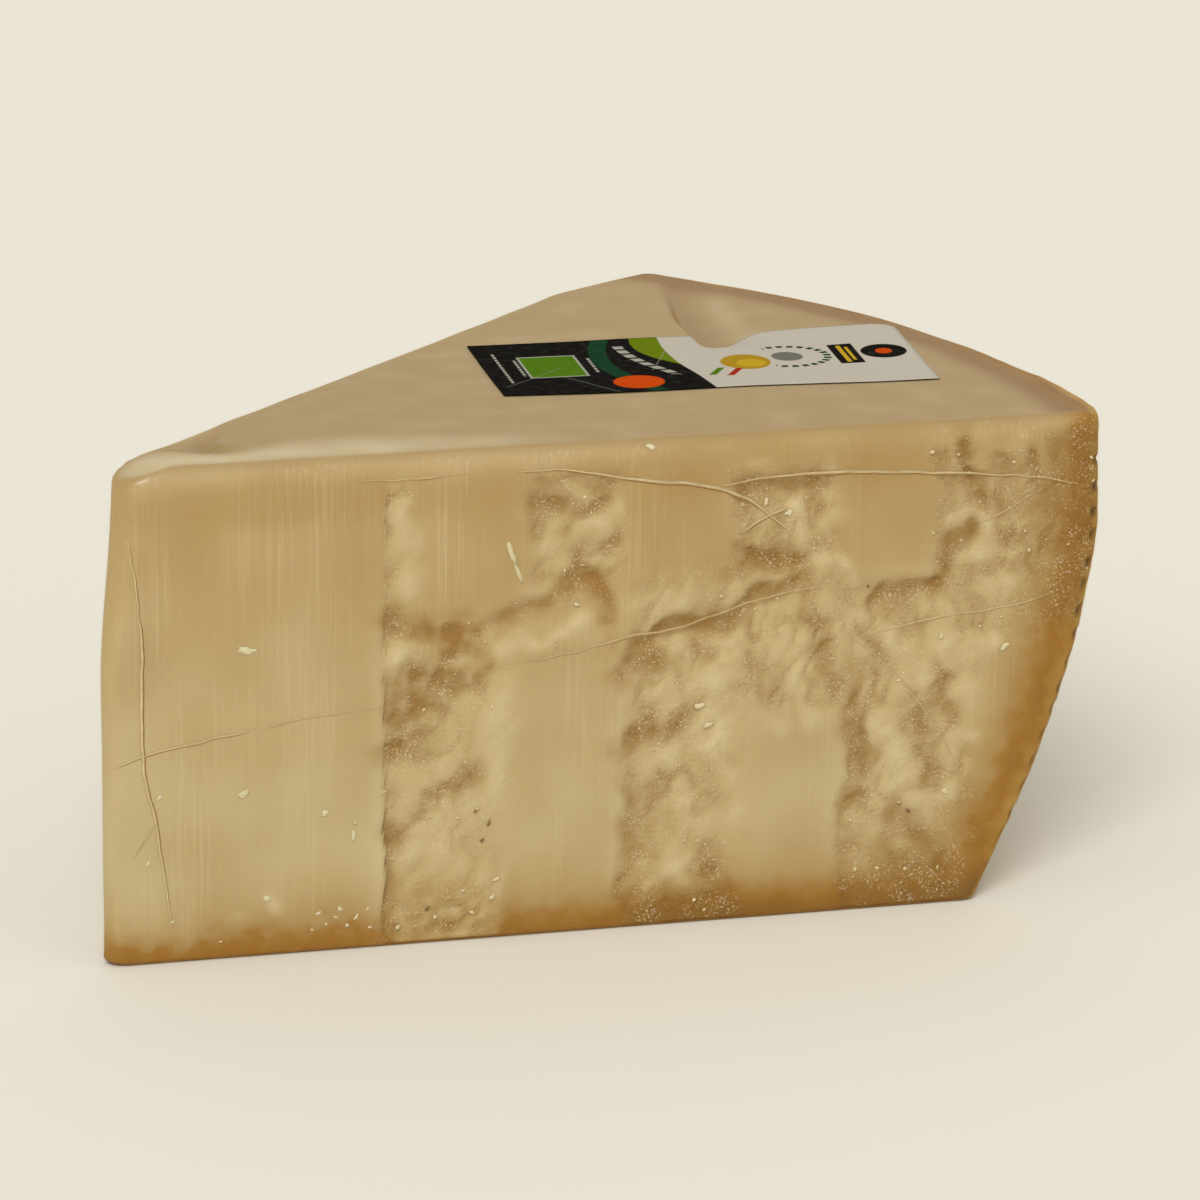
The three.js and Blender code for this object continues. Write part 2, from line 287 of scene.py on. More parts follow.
FRONT_VEINS = [
    ([77, 66.5, 73, 61, 70, 56, 67, 50, 62, 43], 3.4, 1.2, -0.95),
    ([61, 71, 65, 69, 70, 67.5, 76, 67.5], 2.4, 0.9, -0.6),
    ([82, 59, 77, 55, 72, 50], 2, 0.7, -0.45),
    ([79, 38, 74, 34, 69, 30, 61, 23], 1.9, 0.9, -0.6),
    ([105, 73, 107, 68, 110, 62], 3, 0.6, -0.5), ([110, 53, 113, 56, 118, 57], 1.8, 0.9, -0.6),
    ([110, 40, 116, 42.5, 122, 43, 127, 46], 2, 1.1, -0.7),
    ([112, 37, 112.5, 26, 114, 18], 1.8, 0.4, -0.2),
    ([120, 31, 117, 26, 119, 20], 1.5, 0.5, -0.35),
    ([123, 55, 127, 50, 125, 44], 1.5, 0.5, -0.3), ([137, 76, 140, 79, 147, 78.5], 2.6, 1, -0.7),
    ([92, 94.5, 97, 92.5], 1.3, 0.9, -0.55), ([100, 88, 103, 90.5, 107, 93], 1.4, 1, -0.6),
    ([103, 80.5, 107, 83, 109, 85], 1.2, 0.8, -0.5), ([94, 99, 99, 98.5], 1, 0.6, -0.4),
    ([180, 71, 182, 76, 184.5, 80, 187, 82.5], 1.9, 1.4, -0.85),
    ([186.5, 105, 187, 99, 187.5, 93, 189, 87], 1.5, 1.5, -0.85),
    ([161, 46, 160.5, 36, 161, 24, 163, 14], 1.8, 0.5, -0.35),
    ([166, 44, 164, 36, 165, 27], 1.8, 0.7, -0.5), ([176, 47, 177.5, 37, 178, 27], 1.9, 1, -0.6),
    ([181, 52, 182, 46, 186, 40], 1.7, 0.9, -0.55),
    ([165, 61, 166, 53, 169, 46], 1.7, 0.8, -0.45),
    ([153, 63, 155, 57, 156, 50], 1.9, 0.7, -0.5), ([140, 62, 139, 55], 1.3, 0.5, -0.35),
    ([128, 62, 131, 57], 1.3, 0.6, -0.35), ([130, 13, 132, 8, 129, 3], 2.6, 1, -0.8),
    ([118, 5, 124, 3], 1.6, 0.5, -0.45), ([172, 20, 179, 14, 183, 6], 2.2, 0.7, -0.45),
    ([199, 99, 203, 86, 202, 72], 1.8, 0.7, -0.45), ([194, 88, 197, 80], 1.4, 0.6, -0.35),
    ([86, 62, 94, 64.5, 102, 68], 1.4, -0.5, 0.5),
    ([129, 46, 133, 42, 131, 37], 2.4, -0.8, 0.75),
    ([124, 50, 131, 55, 136, 61], 2.2, -0.5, 0.5), ([169, 42, 170, 35, 172, 28], 2.6, -0.7, 0.6),
    ([183, 84, 187, 85, 190, 82], 1.1, -0.8, 0.7), ([168, 60, 173, 57, 177, 50], 2, -0.5, 0.45),
    ([150, 79, 156, 78, 161, 74], 1.6, -0.5, 0.4),
]
FRONT_SPOTS = [
    (66, 61.5, 4.5, 2.6, -1, 0.8), (64, 86, 2.6, 4.5, -0.5, 0.5), (63.5, 95, 2.4, 3, -0.3, 0.35),
    (66, 78, 3, 2, -0.3, 0.35), (81, 67, 4.5, 2.2, -0.4, 0.5), (98, 66, 9, 3.2, -0.2, 0.2),
    (84, 50, 3, 7, -0.4, 0.4), (84, 35, 3.5, 10, -0.5, 0.5), (84, 12, 3, 3, -0.3, 0.4),
    (70, 22, 5, 7, -0.3, 0.3), (104, 76, 6, 4, 0.5, -0.5), (67, 65, 6, 6, 0.5, -0.35),
    (94, 84, 3, 2.6, -0.5, 0.5), (98, 88, 3, 2, -0.5, 0.45), (105, 87.5, 4, 1.8, -0.6, 0.6),
    (110, 91, 2, 3, -0.5, 0.55), (101, 95, 2.4, 1.8, -0.4, 0.4), (97, 80, 3.4, 2.4, -0.4, 0.45),
    (106, 80.5, 3, 1.6, -0.3, 0.35), (124, 13, 4, 4.5, -0.9, 0.75),
    (118, 9, 2.6, 2.6, -0.5, 0.5), (133, 32, 3, 3, -0.6, 0.55), (136, 23, 2.4, 4, -0.4, 0.45),
    (122, 36, 3, 2.6, -0.5, 0.45), (123, 27, 2.4, 2.4, -0.4, 0.4), (133, 51, 3, 2.4, -0.6, 0.6),
    (119, 49, 3, 3, -0.5, 0.4), (154, 43, 2.6, 2.8, -0.5, 0.55), (146, 43, 2.2, 2, -0.3, 0.35),
    (146, 57, 3.6, 3, -0.4, 0.4), (150, 51, 2.4, 2.4, -0.3, 0.35), (143, 49, 2, 2, 0.4, -0.3),
    (118, 60, 4, 1.6, 0.4, -0.4), (190, 77, 4.2, 2.2, -0.9, 0.7),
    (196, 84, 2.4, 2.2, -0.5, 0.45), (198, 76, 2.4, 2.8, -0.4, 0.4), (193, 69, 4, 3, -0.5, 0.4),
    (186, 55.5, 4, 3.4, -0.6, 0.5), (193, 57, 2.4, 2, -0.5, 0.6), (181, 57, 1.8, 3.6, -0.5, 0.5),
    (164, 63, 2.8, 2.4, -0.4, 0.4), (164, 56, 2.4, 3.6, -0.5, 0.5), (166, 17, 4, 4, -0.3, 0.2),
    (183, 24, 2, 2, -0.5, 0.7), (188, 37, 2.4, 3, -0.5, 0.5), (187, 47, 2.6, 2.6, -0.5, 0.5),
    (176, 22, 3, 2.6, -0.4, 0.35), (175, 8, 8, 7, 0.3, -0.6), (147, 88, 1.6, 1.6, -0.6, 0.9),
    (156, 97, 2.4, 1.2, -0.3, 0.5), (141, 99, 2, 1, -0.3, 0.4), (155, 91, 4, 1.8, -0.5, 0.5),
    (158, 86, 4, 1.8, -0.4, 0.4), (150, 84, 4, 1.6, -0.3, 0.3), (118, 72, 5, 1.8, -0.4, 0.35),
    (130, 73, 6, 1.8, -0.3, 0.3), (197, 101, 2, 3, -0.3, 0.35), (211, 88, 2.4, 2.4, -0.4, 0.6),
    (208, 84, 5, 17, 0.2, -0.3), (210, 99, 2.2, 2.4, -0.3, 0.55), (212, 76, 1.6, 3, -0.2, 0.4),
    (207, 93, 1.6, 1.6, -0.3, 0.35), (36, 11, 1.5, 2.2, -0.1, 0.7), (28, 8, 2.5, 1.5, 0, 0.3),
    (48, 7, 6, 2.5, 0, 0.35),
]
BACK_SPLITS = [
    (46, 79, -5, 99, 1.2, 0.4, 0.6, 5), (104, 131, -5, 66, 1.1, 0.6, 2.4, 5),
    (131, 152, 60, 98, 0.8, 0.8, 3, 3), (150, 183, -5, 92, 1, 0.7, 2.4, 5),
    (199, 219, 60, 105, 1, 0.6, 2, 2),
]
BACK_LEDGES = [
    ([45, 34, 56, 38, 68, 45, 80, 52, 94, 58, 106, 60], 3.2, 7),
    ([104, 66, 118, 70, 132, 74, 148, 72], 2.8, 5.5),
    ([150, 60, 162, 66, 172, 64, 186, 56], 2.6, 6), ([48, 72, 58, 80, 70, 84], 1.8, 5),
]
BACK_VEINS = [
    ([48, 90, 54, 82, 60, 70], 2.4, 1, -0.7), ([64, 66, 70, 58, 72, 48], 2.2, 0.9, -0.6),
    ([52, 52, 60, 50, 68, 54], 1.8, 0.8, -0.5),
    ([106, 28, 112, 34, 122, 36, 129, 33], 2.2, 1.2, -0.7),
    ([108, 50, 116, 48, 126, 54], 2, 0.9, -0.6), ([108, 16, 118, 12, 128, 16], 2, 0.8, -0.5),
    ([134, 92, 142, 84, 150, 82], 1.8, 1, -0.6), ([154, 34, 164, 40, 178, 37], 2.2, 1.1, -0.65),
    ([158, 86, 166, 80, 178, 82], 1.8, 0.9, -0.55),
    ([160, 52, 162, 44, 168, 30, 166, 22], 1.8, 0.8, -0.5),
    ([154, 14, 162, 10, 170, 4], 2, 0.8, -0.5), ([48, 24, 55, 17, 62, 8], 2, 0.8, -0.5),
    ([60, 38, 66, 30, 72, 26], 1.8, 0.7, -0.4), ([56, 62, 62, 60, 66, 64], 2.2, -0.8, 0.7),
    ([112, 42, 118, 42, 124, 46], 2.2, -0.7, 0.7), ([168, 74, 174, 72, 180, 70], 2, -0.7, 0.6),
    ([172, 30, 176, 24, 174, 20], 2, -0.6, 0.5),
]
BACK_SPOTS = [
    (60, 44, 5, 3, -0.5, 0.5), (72, 76, 4, 5, -0.5, 0.5), (54, 94, 3, 3, -0.5, 0.5),
    (115, 58, 4, 3, -0.5, 0.5), (124, 22, 5, 4, -0.6, 0.6), (112, 6, 4, 4, -0.4, 0.5),
    (140, 66, 5, 3, -0.4, 0.5), (146, 90, 4, 3, -0.5, 0.4), (158, 76, 3, 4, -0.6, 0.5),
    (156, 48, 3, 5, -0.5, 0.5), (176, 52, 4, 4, -0.5, 0.4), (92, 64, 8, 3, 0.4, -0.5),
]
FRONT = (11, FRONT_SPLITS, FRONT_LEDGES, FRONT_VEINS, FRONT_SPOTS)
BACK = (47, BACK_SPLITS, BACK_LEDGES, BACK_VEINS, BACK_SPOTS)
LEDGE_LIP = 3.0
RELIEF = 0.65
CRUMB_RELIEF = 0.58
# How strongly painted shade darkens the creases of broken cheese and painted light brightens its
# lumps.
CRUMB_PAINTED_SHADE = 0.27


def corners(path):
    """The points of a line that a table gives as first and second coordinate in turn."""
    return np.reshape(path, (-1, 2)).astype(float)


def path_distance(x, z, path):
    """Distance to a line of straight stretches."""
    nearest = np.full(x.shape, 1e9)
    points = corners(path)
    for (x0, z0), (x1, z1) in zip(points, points[1:]):
        dx, dz = x1 - x0, z1 - z0
        share = np.clip(((x - x0) * dx + (z - z0) * dz) / (dx * dx + dz * dz), 0, 1)
        nearest = np.minimum(nearest, np.hypot(x - x0 - share * dx, z - z0 - share * dz))
    return nearest


def crumb_relief(x, z, seed):
    """Broken cheese: rounded lumps of several sizes with creases between them. The lumps
    lean to the right, less so towards the rind."""
    leaning = x - 0.45 * z * (1 - 1.2 * smooth(x, 120, 190))
    stretched = 0.8 * z
    broad = noise(leaning, stretched, 11, seed)
    lumps = np.abs(noise(leaning, stretched, 6.5, seed + 1)) ** 0.8
    small = np.abs(noise(leaning, stretched, 3.1, seed + 2))
    creased = smooth(noise(x, z, 13, seed + 3), -0.45, 0.35)
    rounded = (0.45 - 1.1 * lumps) * (0.5 + 0.5 * creased)
    return 0.5 * broad + rounded + (0.16 - 0.5 * small) * creased


def cut_face(x, z, seed, splits, ledges, veins, spots):
    """Depth, crumb and tone of a cut face at x, z."""
    wx = x + 2.6 * noise(x, z, 12, seed) + 0.8 * noise(x, z, 4, seed + 1)
    wz = z + 2.2 * noise(x, z, 12, seed + 2) + 0.8 * noise(x, z, 4, seed + 3)
    uneven = 0.8 + 0.5 * noise(x, z, 4.5, seed + 10) + 0.35 * noise(x, z, 2.2, seed + 11)
    depth, crumb, tone = np.zeros((3, *x.shape))

    for x0, x1, z0, z1, deep_left, deep_right, soft_left, soft_right in splits:
        edge_x = x + (wx - x) * min(1.0, soft_left / 2)
        share = smooth(edge_x, x0 - soft_left / 2, x0 + soft_left / 2)
        share = share * (1 - smooth(wx, x1 - soft_right, x1 + soft_right)) * within(wz, z0, z1, 3)
        deep = deep_left + (deep_right - deep_left) * np.clip((x - x0) / (x1 - x0), 0, 1)
        depth = np.maximum(depth, share * deep)
        crumb = np.maximum(crumb, share)

    for path, deep, tail in ledges:
        xs, zs = corners(path).T
        below = np.interp(wx, xs, zs) - wz
        ends = smooth(wx, xs[0] - 2, xs[0] + 3) * (1 - smooth(wx, xs[-1] - 3, xs[-1] + 2))
        step = smooth(below, -LEDGE_LIP / 2, LEDGE_LIP)
        run_out = np.exp(-(np.clip(below, 0, None) / tail) ** 1.5)
        depth += RELIEF * deep * ends * step * run_out
        crumb = np.maximum(crumb, 0.8 * ends * step * run_out)
        # Painted shadow: the tone is darkened just under each ledge's lip.
        lip_shadow = step * np.exp(-(np.clip(below, 0, None) / (0.75 * tail)) ** 2)
        tone -= 0.26 * deep * ends * lip_shadow * (0.1 + 1.1 * uneven)

    for path, half, deep, shade in veins:
        share = np.exp(-(path_distance(wx, wz, path) / (1.35 * half)) ** 2) * uneven
        depth += RELIEF * deep * share
        crumb = np.maximum(crumb, 0.7 * share)
        # Painted shade in grooves and painted light on ridges.
        tone += 0.75 * shade * share

    for sx, sz, half_x, half_z, deep, shade in spots:
        share = np.exp(-((wx - sx) / half_x) ** 2 - ((wz - sz) / half_z) ** 2)
        depth += RELIEF * deep * share
        # Painted shade in hollow spots and painted light on raised ones; flat spots are paler paste.
        tone += 0.65 * shade * share

    crumbs = crumb_relief(wx, wz, seed + 4)
    depth += CRUMB_RELIEF * crumb * crumbs
    # Painted shade in the creases between the lumps and painted light on the lumps.
    tone -= CRUMB_PAINTED_SHADE * crumb * crumbs
    tone += 0.2 * (1 - crumb) * noise(x, z, 16, seed + 8)
    return depth, crumb, tone


DOT_PITCH = 6.6
DOT_ROW = 5.4
DOT_FIRST = 1.0
DOT_FIRST_ROW = 14
DOT_RADIUS = 1.15
DOT_DEPTH = 1.2


def rind_face(arc, z):
    """Depth and tone of the rind, with plain staggered rows of pressed dots."""
    row = np.round((z - DOT_FIRST_ROW) / DOT_ROW)
    staggered = 0.5 * (row % 2) * (arc > DOT_FIRST + DOT_PITCH / 4)
    shifted = (arc - DOT_FIRST) / DOT_PITCH + staggered
    column = np.round(shifted)
    wander = np.random.default_rng(5).uniform(-0.5, 0.5, (64, 64, 2))
    r, c = row.astype(int) % 64, column.astype(int) % 64
    off_arc = (shifted - column) * DOT_PITCH - wander[r, c, 0]
    off_z = z - DOT_FIRST_ROW - row * DOT_ROW - wander[r, c, 1]
    dot = 1 - smooth(np.hypot(off_arc, off_z), 0.35 * DOT_RADIUS, 1.3 * DOT_RADIUS)
    dot = dot * within(z, 12, 100, 1)
    waves = 0.25 * noise(arc, z, 24, 61) + 0.12 * noise(arc, z, 7, 62)
    depth = 0.1 + waves + DOT_DEPTH * dot
    # The dots' dark tone is painted shade in their pressed dimples; the noise is the rind's own
    # mottling.
    tone = -1.4 * dot + 0.25 * noise(arc, z, 30, 63) + 0.2 * noise(arc, z, 6, 64)
    return depth, tone


def top_face(x, y):
    """Depth and tone of the top face, with the hollow that runs to the back corner."""
    along = y - HOLLOW_START[1]
    crease = HOLLOW_START[0] + 7 * smooth(along, 28, 68) + 1.2 * noise(x, y, 16, 71)
    across = x - crease
    strength = smooth(along, 0, 13) * (1 - 0.97 * smooth(along, 18, 64))
    hollow = HOLLOW_DEPTH * smooth(across, -1.8, 1.4) * (1 - smooth(across, 1.4, HOLLOW_WIDTH))
    hollow *= strength

    radius = np.hypot(x, y)
    turn = np.arctan2(y, x)
    from_back = radius * np.sin(SECTOR - turn)
    along_share = (radius - EDGE_DIP_ALONG) / EDGE_DIP_LENGTH
    dip = EDGE_DIP_DEPTH * np.exp(-along_share ** 2 - (from_back / EDGE_DIP_REACH) ** 2)
    rise = RIM_RISE * smooth(radius, 170, WHEEL_RADIUS) * smooth(np.degrees(turn), 5, 25)
    from_sag = np.hypot(x - SAG_MIDDLE[0], y - SAG_MIDDLE[1])
    sag = SAG_DEPTH * np.exp(-(from_sag / SAG_REACH) ** 2)
    waves = TOP_FALL - rise + 0.15 * noise(x, y, 38, 72)
    # Painted shade on the hollow's steep wall and painted light on its far, gentle side.
    tone = -0.4 * smooth(across, -2.5, 0.5) * (1 - smooth(across, 2, 9)) * smooth(along, 0, 13)
    tone += 0.2 * within(across, 9, 14, 2.5) * smooth(along, 0, 13)
    tone -= 1.2 * np.exp(-((WHEEL_RADIUS - radius - 6.5) / 4.2) ** 2)
    # Painted highlight along the top's front edge towards the nose.
    tone += 0.55 * (1 - smooth(y, 5, 20)) * (1 - smooth(x, 50, 110))
    tone += 0.12 * noise(x, y, 9, 73)
    return hollow + dip + sag + waves, tone


def crust_share(x, y, z, cover):
    """How near the cheese is to its rind: 0 well inside and 1 at the rind's surface. The
    crust shows as a narrower strip on the top face."""
    radius = np.hypot(x, y)
    inside = rind_radius(z) - radius + 1.4 * noise(x + y, z, 14, 81)
    reach = (20 - 4 * smooth(z, 55, 80)) * (1 - cover) + 8 * cover
    side = 1 - np.clip(inside / reach, 0, 1)
    height = z + 1.2 * noise(x, y, 22, 82) + 0.8 * noise(x, y, 6, 83)
    under = 0.76 * np.exp(-(np.clip(height, 0, None) / 9.5) ** 1.5)
    return np.maximum(side, under)


def shift_rows(values, step):
    """The grid's values moved by some rows, with the end rows repeated."""
    return values[np.clip(np.arange(len(values)) + step, 0, len(values) - 1)]


def blur(values, reach):
    across = sum(np.roll(values, step, axis=1) for step in range(-reach, reach + 1))
    total = sum(shift_rows(across, step) for step in range(-reach, reach + 1))
    return total / (2 * reach + 1) ** 2


def least(values, reach):
    across = values
    for step in range(-reach, reach + 1):
        across = np.minimum(across, np.roll(values, step, axis=1))
    result = across
    for step in range(-reach, reach + 1):
        result = np.minimum(result, shift_rows(across, step))
    return result


def wedge_skin(grid, normals):
    """Depth below the plain wedge, and the masks that the cheese's material reads."""
    x, y, z = np.moveaxis(grid, 2, 0)
    radius = np.hypot(x, y)
    nx, ny, nz = np.moveaxis(normals, 2, 0)
    on_front = smooth(-ny, 0.72, 0.97)
    on_back = smooth(-(nx * INTO_BACK[0] + ny * INTO_BACK[1]), 0.72, 0.97)
    outward = (nx * x + ny * y) / np.maximum(radius, 1)
    on_rind = smooth(outward, 0.3, 0.72) * smooth(radius, 150, 170)
    on_top = smooth(nz, 0.6, 0.97)
    front_depth, front_crumb, front_tone = cut_face(x, z, *FRONT)
    back_depth, back_crumb, back_tone = cut_face(radius, z, *BACK)
    arc = np.arctan2(y, x) * WHEEL_RADIUS
    rind_depth, rind_tone = rind_face(arc, z)
    top_depth, top_tone = top_face(x, y)

    sides = smooth(z, 0, 3)
    depth = (front_depth * on_front + back_depth * on_back) * sides * (1 - smooth(z, 97, 105))
    depth += rind_depth * on_rind * sides + top_depth * on_top
    depth += (0.15 + 0.15 * noise(x + 0.6 * y, z + y, 26, 91)) * sides
    crumb = front_crumb * on_front + back_crumb * on_back
    # Painted shade in recesses and painted light on what stands out, from the depth against its
    # blurred surroundings.
    painted_relief_shading = np.clip((depth - blur(depth, 5)) * -0.45, -0.5, 0.35)
    tone = front_tone * on_front + back_tone * on_back + rind_tone * on_rind + top_tone * on_top
    tone = np.clip(tone + painted_relief_shading * (on_front + on_back), -1, 1)
    striae = np.clip(on_front + on_back, 0, 1) * (1 - crumb)
    # Painted highlight on the start of the rounded top edge and on the nose; the tone is also
    # darkened a little from z 93 to 98.
    painted_edge_highlight = on_front * within(z, 100, 106, 2) + 0.5 * on_front * (1 - smooth(x, 6, 10))
    tone += 0.1 * painted_edge_highlight - 0.1 * on_front * within(z, 93, 98, 3)
    tone -= on_front * smooth(x, 55, 130) * (0.11 + 0.07 * smooth(z, 60, 80))
    tone -= 0.65 * on_front * smooth(x, 80, 140) * (1 - smooth(z, 4, 10))
    loose = crumb * on_front * within(x, 62, 86, 3) * (1 - smooth(z, 6, 14))
    cover = smooth(nz, 0.1, 0.95)
    tone -= loose * (0.08 + 0.4 * noise(x, z, 2.6, 93))
    crust = crust_share(x, y, z, cover) * (1 - 0.6 * loose)
    return {"depth": depth, "crumb": crumb, "tone": tone,
            "crust": crust, "striae": striae, "top": cover}


# ---- meshes

def placed(name, data):
    """A new object in the scene."""
    made = bpy.data.objects.new(name, data)
    bpy.context.scene.collection.objects.link(made)
    return made


def make_mesh(name, points, faces, attributes=None):
    """A smooth-shaded mesh object; points are in the wheel's frame, in mm."""
    mesh = bpy.data.meshes.new(name)
    mesh.from_pydata(to_row(points).tolist(), [], faces)
    for key, values in (attributes or {}).items():
        layer = mesh.attributes.new(key, "FLOAT", "POINT")
        layer.data.foreach_set("value", np.asarray(values, np.float32))
    mesh.polygons.foreach_set("use_smooth", [True] * len(mesh.polygons))
    mesh.update()
    return placed(name, mesh)


FILM_GAP = 0.22
FILM_REACH = 3


def film_points(grid, normals, skin):
    """The film bridges the hollows of the cheese and lies on what stands out."""
    x, y, z = np.moveaxis(grid, 2, 0)
    bridge = blur(least(skin["depth"], FILM_REACH), FILM_REACH)
    bridge += (skin["depth"] - bridge) * skin["top"]
    pucker = 0.1 * np.abs(noise(x + 0.7 * y, z, 5, 95)) * skin["crumb"]
    lift = FILM_GAP - bridge + pucker
    lift = np.where(grid[..., 2] <= 0, 0.0, lift)
    return grid + normals * lift[..., None]


class Skin:
    """The film as a surface that other pieces are laid onto."""

    def __init__(self, points, faces):
        self.tree = BVHTree.FromPolygons(points.tolist(), faces)

    def hit(self, source, direction):
        place, normal, _, _ = self.tree.ray_cast(Vector(source), Vector(direction))
        return np.array(place), np.array(normal)

    def front(self, x, z):
        return self.hit((x, -40.0, z), (0, 1, 0))

    def back(self, x, z):
        source = ALONG_BACK * x - INTO_BACK * 40
        return self.hit((*source, z), (*INTO_BACK, 0))

    def rind(self, degrees, z):
        turn = math.radians(degrees)
        out = np.array([math.cos(turn), math.sin(turn)])
        return self.hit((*(out * (WHEEL_RADIUS + 40)), z), (*-out, 0))

    def top(self, x, y):
        return self.hit((x, y, HEIGHT + 40), (0, 0, -1))


# Folds of the film by the face they lie on: their line, how wide and how white they are. A
# line gives x and z in turn, or on the rind degrees and z.
FOLDS = {
    "front": [
        ([147, 84, 140, 90, 133, 93.5, 125, 95.5, 112, 97.5, 100, 100, 88, 100.5], 1.5, 0.7),
        ([211, 90, 200, 92.5, 180, 94.5, 160, 96, 145, 96, 130, 94.5], 1.2, 0.6),
        ([158, 72, 143, 70, 130, 66.5, 120, 64, 112, 63.5, 100, 61, 83, 59], 0.9, 0.35),
        ([207, 67, 195, 64.5, 180, 63, 165, 60.5], 0.8, 0.4),
        ([162, 60, 172, 50, 180, 40, 187, 25], 0.8, 0.35),
        ([6, 92, 8, 80, 9, 65, 9, 45, 12, 28, 15, 7], 1.4, 0.8),
        ([32, 49, 20, 47, 9, 45, 3, 43], 1, 0.7),
        ([60, 52, 46, 51, 32, 49], 0.8, 0.25), ([7, 23, 10, 28, 12, 31], 0.6, 0.4),
        ([78, 100.8, 66, 100.2, 54, 100.5], 0.9, 0.35), ([147, 89, 142, 87, 136, 84], 1, 0.6),
        ([203, 90, 194, 85, 188, 83], 0.7, 0.4),
    ],
    "back": [
        ([20, 92, 60, 96, 96, 93, 120, 97, 160, 95, 196, 97], 1.2, 0.6),
        ([40, 62, 80, 58, 104, 64, 140, 60, 176, 66], 0.9, 0.45),
        ([24, 30, 30, 60, 26, 88], 1.2, 0.7),
        ([120, 18, 128, 40, 140, 58], 0.8, 0.35), ([186, 14, 180, 44, 188, 80], 0.9, 0.5),
    ],
    "rind": [
        ([6, 99, 16, 101, 28, 98, 38, 101], 1, 0.5), ([12, 22, 14, 50, 11, 84], 0.9, 0.45),
        ([26, 16, 30, 46, 27, 72, 31, 98], 0.9, 0.45), ([14, 50, 22, 56, 30, 46], 0.7, 0.35),
    ],
}
FOLD_STEP = 0.8
FOLD_HEIGHT = 0.06
FOLD_HALF = 0.36
FOLD_SINK = 0.12
FOLD_WIGGLE = 0.2
# A fold's section: across it and up, with the point on its underside last.
FOLD_SECTION = [(-1.0, 0.0), (-0.35, 0.8), (0.1, 1.0), (0.45, 0.6), (1.0, 0.0), (0.0, -0.3)]


def curve_points(path, step):
    """Points along a smooth curve through the path's points, about a step apart."""
    path = corners(path)
    knots = np.vstack([2 * path[0] - path[1], path, 2 * path[-1] - path[-2]])
    points = []
    for before, start, end, after in zip(knots, knots[1:], knots[2:], knots[3:]):
        count = max(2, round(np.linalg.norm(end - start) / step))
        for t in np.linspace(0, 1, count, endpoint=False):
            points.append(0.5 * (2 * start + (end - before) * t
                                 + (2 * before - 5 * start + 4 * end - after) * t ** 2
                                 + (3 * start - before - 3 * end + after) * t ** 3))
    return [*points, path[-1]]


def fold_strip(film, face, path, width, rng):
    """A closed, arched strip along a line on the film, as points and faces."""
    lay = getattr(film, face)
    route = curve_points(path, FOLD_STEP)
    spots = [lay(*point) for point in route]
    places = np.array([spot[0] for spot in spots])
    outward = np.array([spot[1] for spot in spots])
    along = np.gradient(places, axis=0)
    across = np.cross(outward, along)
    across /= np.linalg.norm(across, axis=1, keepdims=True)
    share = np.linspace(0, 1, len(places))
    taper = np.sqrt(np.clip(np.sin(np.pi * share), 0.02, 1))
    wander = np.interp(share, np.linspace(0, 1, 9), rng.uniform(0.6, 1.15, 9))
    half = FOLD_HALF * width * taper * wander
    knots = 3 + len(places) // 4
    sway = rng.uniform(-FOLD_WIGGLE, FOLD_WIGGLE, knots)
    wiggle = np.interp(share, np.linspace(0, 1, knots), sway)
    places = places + across * wiggle[:, None] - outward * FOLD_SINK
    rise = FOLD_HEIGHT * taper * wander
    rings = [places + across * (side * half)[:, None] + outward * (up * rise)[:, None]
             for side, up in FOLD_SECTION]
    points = np.stack(rings, axis=1).reshape(-1, 3)
    count, around = len(places), len(FOLD_SECTION)
    faces = ring_faces(count, around)
    faces.append(tuple(range(around)))
    faces.append(tuple((count - 1) * around + j for j in reversed(range(around))))
    return points, faces


def joined(parts):
    """Several meshes, each as points and faces, as one."""
    points, faces, start = [], [], 0
    for part_points, part_faces in parts:
        points.append(part_points)
        faces += [tuple(start + index for index in face) for face in part_faces]
        start += len(part_points)
    return np.concatenate(points), faces


def make_folds(film):
    rng = np.random.default_rng(31)
    strips, white = [], []
    for face, rows in FOLDS.items():
        for path, width, share in rows:
            strips.append(fold_strip(film, face, path, width, rng))
            white += [share] * len(strips[-1][0])
    points, faces = joined(strips)
    around = len(FOLD_SECTION)
    side = np.tile([across for across, _ in FOLD_SECTION], len(points) // around)
    # The side mask tints one side of each fold brown in its material, as painted shadow beside the
    # fold.
    masks = {"white": white, "side": side}
    folds = make_mesh("film_folds", points, faces, masks)
    upper = [all(index % around != around - 1 for index in face) for face in faces]
    folds.data.polygons.foreach_set("use_smooth", upper)
    return folds


def ball(level):
    """Points and triangles of a round ball of radius 1."""
    made = bmesh.new()
    bmesh.ops.create_icosphere(made, subdivisions=level, radius=1.0)
    points = np.array([vert.co[:] for vert in made.verts])
    faces = [tuple(vert.index for vert in face.verts) for face in made.faces]
    made.free()
    return points, faces


def bits(places, outward, sizes, level, rng):
    """Irregular bits: each is a ball pressed and turned, at its place. The three sizes
    are its length, its width and how far it stands off the surface."""
    ball_points, ball_faces = ball(level)
    parts = []
    for place, normal, size in zip(places, outward, sizes):
        bumps = 1 + rng.uniform(-0.3, 0.3, (len(ball_points), 1))
        side = np.cross(normal, rng.normal(size=3))
        side /= np.linalg.norm(side)
        turn = np.stack([side, np.cross(normal, side), normal])
        parts.append((place + (ball_points * bumps * size) @ turn, ball_faces))
    return joined(parts)


def scattered(grid_points, normals, weight, count, rng):
    """Random places on the grid, more of them where the weight is high."""
    chance = weight.reshape(-1)
    index = rng.choice(len(chance), count, p=chance / chance.sum())
    shift = rng.uniform(-0.4, 0.4, (count, 3))
    return grid_points.reshape(-1, 3)[index] + shift, normals.reshape(-1, 3)[index]
